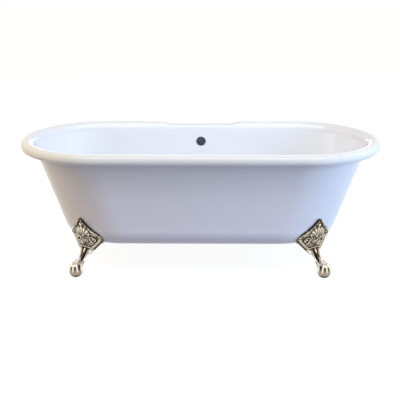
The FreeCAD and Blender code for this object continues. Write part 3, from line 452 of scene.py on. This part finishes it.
def shield_block():
    """The shield: ornamented face, side walls and a plain back that beds on the tub.

    A grid of height by place across; at each height one closed ring runs over the face, down
    one side wall, along the back and up the other side wall. The face lies at the ground's
    reach and the ornament's height; between the ribs it is sunk.
    """
    heights = np.linspace(SHIELD_HEIGHTS[0], SHIELD_HEIGHTS[-1], SHIELD_ROWS)[:, None]
    across = np.linspace(-1, 1, SHIELD_COLUMNS)[None, :]
    half_width = shield_half_width(heights) + shield_scallops(heights)
    lateral = across * half_width
    height = heights + 0 * across
    base = shield_base(lateral, height, half_width)
    carved = shield_ornament(lateral, height, half_width)
    below = 1 - smooth_step(height, NECK_HEIGHT - 2, NECK_HEIGHT + 2)
    deeper = SHIELD_PIT * below * (1 - smooth_step(carved, 0.1, 0.6))
    face = base + SHIELD_RELIEF * carved - deeper
    back = np.maximum(tub_reach(lateral, height, SHIELD_GAP), base - SHIELD_THINNEST)[:, ::-1]
    inset = np.array([0.25, 0.5, 0.75])[None, :]
    right = face[:, -1:] + (back[:, :1] - face[:, -1:]) * inset
    left = back[:, -1:] + (face[:, :1] - back[:, -1:]) * inset
    ones = np.ones((1, 3))
    ring_reach = np.concatenate([face, right, back, left], 1)
    ring_side = np.concatenate([lateral, half_width * ones, lateral[:, ::-1], -half_width * ones], 1)
    ring_height = np.concatenate([height, heights * ones, height, heights * ones], 1)
    # Side walls: painted shade, dark as the gap under the shield's edge, with painted highlights near the
    # side corners and on the lobes; the back against the tub is painted black.
    lobe_highlight = smooth_step(np.abs(np.sin(heights * math.pi / LOBE_PITCH)), 0.45, 0.95)
    wall = (0.05 + 0.50 * hump(heights - 184, 20) + 0.30 * lobe_highlight * hump(heights - 214, 22)) * ones
    share = np.concatenate([shield_shade(lateral, height, half_width, carved), wall, 0 * back, wall], 1)
    points = foot_point(ring_reach, ring_side, ring_height)
    ends = [np.repeat(points[[i]].mean(1, keepdims=True), points.shape[1], 1) for i in (0, -1)]
    points = np.concatenate([ends[0], points, ends[1]])
    share = np.concatenate([share[:1], share, share[-1:]])
    return (points, grid_faces(*points.shape[:2])), share


def bar_block(path, radii, share, sides=18, steps=9):
    """A round bar along a smooth path in (reach, lateral, height), with its own radius along it.

    A circle square to the path is carried along it; each end closes in a low cone.
    """
    line = smooth_path(np.array(path, float), steps)
    place = np.linspace(0, len(path) - 1, len(line))
    radius = np.interp(place, np.arange(len(path)), radii)[:, None, None]
    forward = np.gradient(line, axis=0)
    forward /= np.linalg.norm(forward, axis=1, keepdims=True)
    across = np.cross(forward, [0.0, 1.0, 0.0])
    across /= np.linalg.norm(across, axis=1, keepdims=True)
    other = np.cross(forward, across)
    turn = np.linspace(0, 2 * math.pi, sides, endpoint=False)[None, :, None]
    rings = line[:, None] + radius * (np.cos(turn) * across[:, None] + np.sin(turn) * other[:, None])
    tips = [line[i] + 0.6 * sign * radius[i, 0, 0] * forward[i] for i, sign in ((0, -1), (-1, 1))]
    caps = [np.tile(tip, (1, sides, 1)) for tip in tips]
    rings = np.concatenate([caps[0], rings, caps[1]])
    shares = np.interp(np.linspace(0, 1, len(rings)), np.linspace(0, 1, len(share)), share)
    surface = (foot_point(*np.moveaxis(rings, -1, 0)), grid_faces(*rings.shape[:2]))
    return surface, np.repeat(shares[:, None], sides, 1)


def on_ball(polar, azimuth, lift):
    """A point over the ball, by its angle from the top and its direction from straight ahead."""
    radius, polar, azimuth = BALL_RADIUS + lift, math.radians(polar), math.radians(azimuth)
    return (BALL_REACH + radius * math.sin(polar) * math.cos(azimuth),
            radius * math.sin(polar) * math.sin(azimuth),
            BALL_RADIUS - BALL_FLAT + radius * math.cos(polar))


def ball_block():
    """The polished ball: a sphere by its angle from the top and round it, on a small flat."""
    polar = np.linspace(0, math.pi, 49)[:, None]
    turn = np.linspace(0, 2 * math.pi, 64, endpoint=False)[None, :]
    reach = BALL_REACH + BALL_RADIUS * np.sin(polar) * np.cos(turn)
    lateral = BALL_RADIUS * np.sin(polar) * np.sin(turn)
    height = np.maximum(BALL_RADIUS - BALL_FLAT + BALL_RADIUS * np.cos(polar) + 0 * turn, 0.0)
    level = np.cos(polar) + 0 * turn
    # Painted shade: darker on the top between the toes and towards the bottom.
    shade = 0.37 - 0.24 * smooth_step(level, 0.2, 0.6) - 0.34 * smooth_step(-level, 0.2, 0.9)
    points = foot_point(reach, lateral, height)
    return (points, grid_faces(*points.shape[:2])), shade


def toe_blocks():
    """Three ribs down the leg, and the claws they end in: three pairs of toes round the ball."""
    # The last list of each bar is painted light along it: painted highlights on the knuckles and claws,
    # painted shade in the hollows of the leg.
    made = [bar_block([(294, 0, 119), (300, 0, 109), (307, 0, 99), (316, 0, 90), (328, 0, 81),
                       (341, 0, 73), (355, 0, 64)],
                      [4.2, 4.6, 4.6, 5.0, 5.8, 7.2, 8.0], [0.85, 0.8, 0.2, 0.1, 0.3, 0.95, 0.9])]
    for side in (-1, 1):
        inner = [(337, side * 3, 76), (352, side * 7.5, 67.5), (368, side * 7.5, 61.5)]
        inner += [on_ball(angle, side * 19, lift) for angle, lift in
                  ((38, 4.0), (55, 3.0), (72, 1.6), (86, 0.0))]
        middle = [(338, side * 4, 72), (349, side * 11, 66.5)]
        middle += [on_ball(angle, side * 57, lift) for angle, lift in
                   ((30, 5.0), (48, 4.0), (64, 2.6), (78, 1.2), (89, 0.0))]
        outer = [(292, side * 21, 116), (298, side * 18.5, 103), (306, side * 16.5, 90),
                 (316, side * 17, 78), (327, side * 19.5, 68.5), (339, side * 23, 61)]
        outer += [on_ball(angle, side * 97, lift) for angle, lift in
                  ((58, 5.0), (74, 2.6), (89, 0.0))]
        made.append(bar_block(inner, [5.0, 6.4, 6.2, 5.6, 4.8, 3.8, 1.6], [0.9, 0.95, 0.95, 0.75]))
        made.append(bar_block(middle, [5.0, 6.2, 6.2, 5.4, 4.6, 3.6, 1.6], [0.6, 0.9, 0.95, 0.75]))
        made.append(bar_block(outer, [4.6, 4.8, 4.4, 4.2, 4.8, 6.2, 5.4, 4.0, 1.6],
                              [0.40, 0.42, 0.5, 0.75, 0.95, 0.5, 0.9, 0.75]))
    return made


def leg_core():
    """The leg's core, from behind the shield down to the ball, painted black as the shade in the hollows
    of the leg.
    """
    # Painted shade: black all along, where only shade would show.
    return bar_block([(262, 0, 142), (267, 0, 124), (276, 0, 109), (290, 0, 96), (304, 0, 85),
                      (321, 0, 73), (341, 0, 61), (358, 0, 50)],
                     [17, 17, 15, 11.5, 9, 8, 10, 14], [0.0, 0.0], sides=32)


def slab_block(plate, share):
    """A plain plate with slightly bevelled edges, such as the shelf under the tub.

    Four rectangles one above the other, the lowest and highest a little smaller.
    """
    bevel = 1.5
    (near, far), (low, high) = plate["reach"], plate["height"]
    rows = []
    for level, inset in ((low, bevel), (low + bevel, 0), (high - bevel, 0), (high, bevel)):
        a, b, c = near + inset, far - inset, plate["half_width"] - inset
        rows.append([(a, -c, level), (b, -c, level), (b, c, level), (a, c, level)])
    rows = np.array(rows)
    centre = [np.repeat(rows[i].mean(0)[None], 4, 0)[None] for i in (0, -1)]
    rows = np.concatenate([centre[0], rows, centre[1]])
    surface = (foot_point(*np.moveaxis(rows, -1, 0)), grid_faces(*rows.shape[:2]))
    return surface, np.full(rows.shape[:2], share)


def make_feet():
    """One foot, and its mirror images at the other three corners."""
    parts = [shield_block(), leg_core(), slab_block(SHELF, 0.35), slab_block(WEB, 0.3), ball_block()]
    parts += toe_blocks()
    # Painted light and shade of every part, one number a point, carried to the nickel as an attribute.
    share = np.concatenate([values.ravel() for block, values in parts])
    for along, right in (("right", 1), ("left", -1)):
        for side, back in (("front", 1), ("back", -1)):
            flip = np.array([right, back, 1.0])
            blocks = [(points * flip, quads) for (points, quads), values in parts]
            node_name = f"foot_{side}_{along}"
            piece = make_piece(f"claw_{node_name}", blocks, NICKEL, FOOT_CREASE, {"painted_light_share": share})
            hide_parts(node_name)
            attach(piece, "tub")


# ---------------------------------------------------------------- the tub's section

def wall_corner_round(slope_run, slope_rise, radius, steps):
    """Arc between the flat bottom and a leaning wall, as (outwards, up) from the sharp corner.

    The arc turns from level to the wall's lean; its ends lie one tangent length from the corner.
    """
    lean = math.atan2(slope_run, slope_rise)
    tangent = radius * math.tan((math.pi / 2 - lean) / 2)
    turn = np.linspace(0.0, math.pi / 2 - lean, steps)
    return -tangent + radius * np.sin(turn), radius * (1 - np.cos(turn))


def wall_rows(grow, bottom_grow, round_steps=20, wall_steps=26):
    """Rows from the edge of the flat bottom up to the root of the roll, grown by a distance.

    Each row holds the half width and height on the long side, and the half length and height at
    the end. Above the bottom's round the wall is straight to the shoulder and bends out smoothly.
    """
    base = BOTTOM["height"] - bottom_grow
    root_height = RIM_HEIGHT - ROLL_INNER
    roll = ROLL_INNER + ROLL_OUTER
    sides = []
    for kind, rim in (("half_width", RIM_HALF_WIDTH), ("half_length", RIM_HALF_LENGTH)):
        low, mid, top = BOTTOM[kind] + grow, SHOULDER[kind] + grow, rim - roll + WALL + grow
        out, up = wall_corner_round(mid - low, SHOULDER_HEIGHT - base, BOTTOM["round"] + grow, round_steps)
        arc_end = up[-1]
        heights = np.linspace(base + arc_end, root_height, wall_steps)[1:]
        straight = low + (mid - low) * (heights - base) / (SHOULDER_HEIGHT - base)
        flare = mid + (top - mid) * (heights - SHOULDER_HEIGHT) / (root_height - SHOULDER_HEIGHT)
        lift = (heights - SHOULDER_HEIGHT) / SHOULDER_BEND
        reach = straight + (flare - straight) * smooth_step(lift, -0.4, 1.4)
        sides.append((np.concatenate([low + out, reach]), np.concatenate([base + up, heights])))
    (half_width, side_height), (half_length, end_height) = sides
    return np.stack([half_width, side_height, half_length, end_height], -1)


def roll_rows(thinner, steps=14):
    """Rows over the rolled rim, from its root to its lip: three arcs, all thinner by a wall."""
    edge, top = RIM_HALF_WIDTH, RIM_HEIGHT
    arcs = [
        (edge - ROLL_OUTER, top - ROLL_INNER, ROLL_INNER - thinner, math.pi, math.pi / 2),
        (edge - ROLL_OUTER, top - ROLL_OUTER, ROLL_OUTER - thinner, math.pi / 2, 0.0),
        (edge - ROLL_LIP, top - ROLL_OUTER, ROLL_LIP - thinner, 0.0, -math.pi / 2),
    ]
    rows = []
    for out, up, radius, start, end in arcs:
        turn = np.linspace(start, end, steps)[1:]
        rows.append(np.stack([out + radius * np.cos(turn), up + radius * np.sin(turn)], -1))
    width, height = np.concatenate(rows).T
    longer = RIM_HALF_LENGTH - RIM_HALF_WIDTH
    return np.stack([width, height, width + longer, height], -1)


def flat_rows(edge_row, steps):
    """Rows of the flat bottom, shrinking evenly from its edge to the middle line."""
    share = np.linspace(0.0, 1.0, steps, endpoint=False)[:, None]
    shrink = edge_row * share
    shrink[:, 1], shrink[:, 3] = edge_row[1], edge_row[3]
    middle = (edge_row[2] - edge_row[0]) * (1 - share[:, 0])
    shrink[:, 2] = edge_row[2] * share[:, 0] + middle
    return shrink


def plan_columns(end_steps=151):
    """Directions round the stadium: place along the straight, then the outward x and y.

    The far straight is divided finely where the rim slopes down to the deck.
    """
    front = np.linspace(-1, 1, 25)
    slope = np.linspace(DECK_HALF_LENGTH - 12, DECK_HALF_LENGTH + DECK_SLOPE + 12, 27)
    half = np.concatenate([np.linspace(0, 1, 14), slope / (RIM_HALF_LENGTH - RIM_HALF_WIDTH)])
    back = np.unique(np.concatenate([-half, half]))[::-1]
    turn = np.linspace(-math.pi / 2, math.pi / 2, end_steps)[1:-1]
    place = np.concatenate([front, np.ones(end_steps - 2), back, -np.ones(end_steps - 2)])
    out_x = np.concatenate([0 * front, np.cos(turn), 0 * back, -np.cos(turn)])
    out_y = np.concatenate([0 * front - 1, np.sin(turn), 0 * back + 1, -np.sin(turn)])
    return place, out_x, out_y


def stadium_points(rows, place, out_x, out_y):
    """Points of the rows round the stadium.

    A row's straight half is its half length less its half width; its height changes from the
    side's to the end's with the square of the outward x.
    """
    half_width, side_height, half_length, end_height = (part[:, None] for part in rows.T)
    x = (half_length - half_width) * place + half_width * out_x
    y = half_width * out_y
    z = side_height + (end_height - side_height) * out_x ** 2
    return np.stack([x, y, z + 0 * x], -1)


def lower_deck(points, level_drop):
    """Press the far rim's middle down to the deck: heights above it are softly clipped to it."""
    x, y, z = points[..., 0], points[..., 1], points[..., 2]
    share = 1 - smooth_step(np.abs(x), DECK_HALF_LENGTH - 3, DECK_HALF_LENGTH + DECK_SLOPE + 3)
    level = RIM_HEIGHT - level_drop - DECK_DROP * share
    over = (z - level) / DECK_SOFTNESS
    clipped = level - DECK_SOFTNESS * np.log1p(np.exp(-np.clip(over, -40, 40)))
    clipped = np.minimum(clipped, z)
    use = np.where(y > 0, smooth_step(share, 0.0, 0.12), 0.0)
    points[..., 2] = z + (clipped - z) * use
    return points


def raise_pads(points):
    """Raise the wall a little round each foot's shield: a cast pad that the foot beds on."""
    x, y, z = points[..., 0], points[..., 1], points[..., 2]
    sine, cosine = math.sin(FOOT_ANGLE), math.cos(FOOT_ANGLE)
    away_x, away_y = np.abs(x) - FOOT_CENTRE, np.abs(y)
    reach, lateral = away_x * sine + away_y * cosine, away_x * cosine - away_y * sine
    beyond = (np.abs(lateral) - shield_half_width(z)) * SHIELD_EDGE_SLOPE
    share = 1 - smooth_step(beyond, PAD_MARGIN - PAD_EDGE, PAD_MARGIN + PAD_EDGE)
    share = share * smooth_step(z, *PAD_BOTTOM) * (1 - smooth_step(z, *PAD_TOP)) * (reach > LEAST_REACH)
    flat = np.hypot(away_x, away_y)
    points[..., 0] += np.sign(x) * away_x / flat * PAD_HEIGHT * share
    points[..., 1] += np.sign(y) * away_y / flat * PAD_HEIGHT * share
    return points


def raise_ridge(rows, at_row):
    """A faint raised line round the outside, where the wall meets the bottom's round.

    A cosine bell over the height, added to the half width and to the half length.
    """
    for reach, height in ((0, 1), (2, 3)):
        above = rows[:, height] - rows[at_row, height] - RIDGE_LIFT
        rows[:, reach] += RIDGE_HEIGHT * hump(above, RIDGE_HALF_WIDTH)
    return rows


def tub_blocks():
    """The whole casting as one closed surface: a profile carried round the stadium.

    The profile runs from the basin's middle up its wall, over the rim, down the outer wall and
    to the middle of the bottom.
    """
    place, out_x, out_y = plan_columns()
    inner_wall = wall_rows(-WALL, -FLOOR_THICKNESS)
    outer_wall = raise_ridge(wall_rows(0.0, 0.0, ROUND_STEPS, WALL_STEPS), ROUND_STEPS - 1)
    face, back = roll_rows(0.0), roll_rows(WALL)
    inside = np.concatenate([flat_rows(inner_wall[0], 8), inner_wall, face])
    outside = np.concatenate([back[::-1], outer_wall[::-1], flat_rows(outer_wall[0], 8)[::-1]])
    top = lower_deck(stadium_points(inside, place, out_x, out_y), 0.0)
    under = lower_deck(raise_pads(stadium_points(outside, place, out_x, out_y)), WALL)
    points = np.concatenate([top, under])
    return [(points, grid_faces(*points.shape[:2]))]


def cutter(name, radius, start, end, along_y=False, sides=96):
    """A round bar on Z or Y between two levels, which cuts a hole or adds the overflow's seat.

    A circle carried straight on, closed to a point at the middle of both ends.
    """
    turn = np.linspace(0, 2 * math.pi, sides, endpoint=False)
    circle = np.stack([np.cos(turn), np.sin(turn)], -1)
    rings = []
    for level, share in ((start, 0.0), (start, 1.0), (end, 1.0), (end, 0.0)):
        ring = np.zeros((sides, 3))
        ring[:, 0] = circle[:, 0] * radius * share
        if along_y:
            ring[:, 1], ring[:, 2] = level, circle[:, 1] * radius * share + OVERFLOW_HEIGHT
        else:
            ring[:, 1], ring[:, 2] = circle[:, 1] * radius * share + WASTE_OFFSET, level
        rings.append(ring)
    points = np.stack(rings)
    return make_piece(name, [(points, grid_faces(*points.shape[:2]))], ENAMEL)


def combine(piece, tool, operation):
    """Join or cut a piece with a tool mesh, which is then removed."""
    modifier = piece.modifiers.new(operation, "BOOLEAN")
    modifier.operation = operation
    modifier.solver = "EXACT"
    modifier.object = tool
    graph = bpy.context.evaluated_depsgraph_get()
    result = bpy.data.meshes.new_from_object(piece.evaluated_get(graph))
    piece.modifiers.clear()
    piece.data = result
    bpy.data.objects.remove(tool)


def make_tub():
    """The enamelled casting, with its overflow seat, overflow hole, waste recess and waste hole."""
    tub = make_piece("enamelled_tub", tub_blocks(), ENAMEL)
    floor = BOTTOM["height"] + FLOOR_THICKNESS
    above = floor + CUT_ABOVE_FLOOR
    seat = cutter("seat_bar", SEAT_RADIUS, SEAT_REACH - SEAT_DEPTH, SEAT_REACH, along_y=True)
    combine(tub, seat, "UNION")
    combine(tub, cutter("overflow_bar", OVERFLOW_RADIUS, *OVERFLOW_CUT, along_y=True), "DIFFERENCE")
    combine(tub, cutter("recess_bar", RECESS_RADIUS, floor - RECESS_DEPTH, above), "DIFFERENCE")
    combine(tub, cutter("waste_bar", WASTE_HOLE_RADIUS, floor - CUT_BELOW_FLOOR, above), "DIFFERENCE")
    tub.data.set_sharp_from_angle(angle=math.radians(TUB_CREASE))
    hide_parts("tub_shell")
    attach(tub, "tub")
    return tub


# ---------------------------------------------------------------- dressing of the carried-over pieces

def dress(names, material):
    """Gives carried-over pieces their finish."""
    for name in names:
        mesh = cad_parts[name].data
        mesh.materials.clear()
        mesh.materials.append(material)


dress(["foot_studs", "foot_washers", "foot_nuts"], ZINC)
dress(["waste_strainer", "stopper_cap", "stopper_plunger", "slip_nuts", "waste_arm", "overflow_riser",
       "tailpiece"], PLATE)
dress(["waste_shoe", "waste_tee", "stopper_cartridge"], CAST_BRASS)
dress(["overflow_elbow"], THROAT_SHADE_GREY)
dress(["waste_gasket", "stopper_seal", "slip_washers", "overflow_gasket"], RUBBER)

make_tub()
make_feet()


# ---------------------------------------------------------------- studio

# Places and sizes in the studio are in metres, powers in watts, angles in radians
CAMERA = {"place": (0.0355, -3.9047, 1.5149), "lens": 75.61, "film": 36.0, "down": 0.3063, "turn": 0.0096}
SURROUNDINGS = {"colour": (1.0, 0.95, 0.82, 1.0), "strength": 0.40}
FLOOR = {"half": 14.0, "grey": 0.26, "glow": 0.90}

# Name, place, aim, size, power, colour, and whether polished surfaces mirror it
LAMPS = [
    ("main", (0.0, -1.35, 3.6), (0.0, -0.2, 0.3), (4.2, 1.0), 50.0, (1.0, 0.98, 0.96), True),
    ("top_front", (0.0, -2.3, 3.9), (0.0, -0.3, 0.3), (4.0, 1.2), 20.0, (1.0, 1.0, 1.0), True),
    ("over_basin", (0.0, -0.03, 0.74), (0.0, -0.03, 0.0), (1.1, 0.25), 1.3, (0.52, 0.68, 1.0), True),
    ("near_floor", (0.0, -0.85, 0.06), (0.0, -0.31, 0.16), (2.2, 0.1), 1.1, (0.36, 0.34, 1.0), False),
    ("right", (3.4, -1.3, 1.1), (0.6, 0.0, 0.35), (1.2, 1.8), 90.0, (0.46, 0.65, 1.0), False),
    ("left", (-2.4, -0.2, 0.8), (-0.6, -0.1, 0.35), (1.4, 1.4), 6.0, (1.0, 0.56, 0.12), False),
    ("left_high", (-2.7, -0.5, 1.7), (0.7, 0.0, 0.5), (0.8, 0.8), 11.0, (1.0, 0.66, 0.30), False),
    ("back", (0.0, 4.6, 0.7), (0.0, 0.0, 0.35), (3.6, 1.2), 24.0, (0.94, 0.96, 1.0), True),
]


def make_camera():
    """The photograph's view: about four metres away, seventeen degrees down."""
    data = bpy.data.cameras.new("camera")
    data.sensor_width = CAMERA["film"]
    data.lens = CAMERA["lens"]
    data.clip_end = 60.0
    camera = bpy.data.objects.new("camera", data)
    camera.location = CAMERA["place"]
    camera.rotation_euler = (math.pi / 2 - CAMERA["down"], 0.0, CAMERA["turn"])
    bpy.context.scene.collection.objects.link(camera)
    bpy.context.scene.camera = camera


def soft_lamp(name, place, aim, size, power, colour, mirrored):
    """A wide rectangular lamp that the camera itself does not see."""
    data = bpy.data.lights.new(name, "AREA")
    data.shape = "RECTANGLE"
    data.size, data.size_y = size
    data.energy = power
    data.color = colour
    lamp = bpy.data.objects.new(name, data)
    lamp.location = place
    lamp.visible_camera = False
    lamp.visible_glossy = mirrored
    direction = np.array(aim) - np.array(place)
    flat = math.hypot(direction[0], direction[1])
    lamp.rotation_euler = (math.atan2(flat, -direction[2]), 0.0, math.atan2(-direction[0], direction[1]))
    bpy.context.scene.collection.objects.link(lamp)


def seen_directly(tree):
    """1 for rays from the camera, in reflections and through glass; 0 for rays that carry light."""
    rays = tree.nodes.new("ShaderNodeLightPath")
    share = rays.outputs["Is Camera Ray"]
    for kind in ("Is Glossy Ray", "Is Transmission Ray"):
        either = node(tree, "Math", operation="MAXIMUM")
        tree.links.new(share, either.inputs[0])
        tree.links.new(rays.outputs[kind], either.inputs[1])
        share = either.outputs["Value"]
    return share


def make_world():
    """Pale surroundings: white to the camera and in reflections, softer as a light."""
    world = bpy.data.worlds.new("studio")
    bpy.context.scene.world = world
    world.use_nodes = True
    tree = world.node_tree
    tree.nodes.clear()
    glow = node(tree, "Background", Color=SURROUNDINGS["colour"], Strength=SURROUNDINGS["strength"])
    seen = node(tree, "Background", Color=(1.0, 1.0, 1.0, 1.0), Strength=1.0)
    mix = tree.nodes.new("ShaderNodeMixShader")
    out = tree.nodes.new("ShaderNodeOutputWorld")
    tree.links.new(seen_directly(tree), mix.inputs["Fac"])
    tree.links.new(glow.outputs["Background"], mix.inputs[1])
    tree.links.new(seen.outputs["Background"], mix.inputs[2])
    tree.links.new(mix.outputs["Shader"], out.inputs["Surface"])


def make_floor():
    """A wide pale floor; its shadow stays, and away from the tub it is as white as the backdrop."""
    half, grey = FLOOR["half"], FLOOR["grey"]
    corners = [(-half, -half, 0), (half, -half, 0), (half, half, 0), (-half, half, 0)]
    mesh = bpy.data.meshes.new("floor")
    mesh.from_pydata(corners, [], [(0, 1, 2, 3)])
    floor = bpy.data.objects.new("floor", mesh)
    bpy.context.scene.collection.objects.link(floor)
    material, tree, shader = new_material("pale_floor")
    shader.inputs["Base Color"].default_value = (grey, grey, grey, 1.0)
    shader.inputs["Roughness"].default_value = 0.9
    shader.inputs["Specular IOR Level"].default_value = 0.0
    glow = node(tree, "Math", operation="MULTIPLY")
    tree.links.new(seen_directly(tree), glow.inputs[0])
    glow.inputs[1].default_value = FLOOR["glow"]
    shader.inputs["Emission Color"].default_value = (1.0, 1.0, 1.0, 1.0)
    tree.links.new(glow.outputs["Value"], shader.inputs["Emission Strength"])
    mesh.materials.append(material)


make_camera()
make_world()
make_floor()
for lamp in LAMPS:
    soft_lamp(*lamp)
bpy.context.scene.view_settings.view_transform = "Standard"
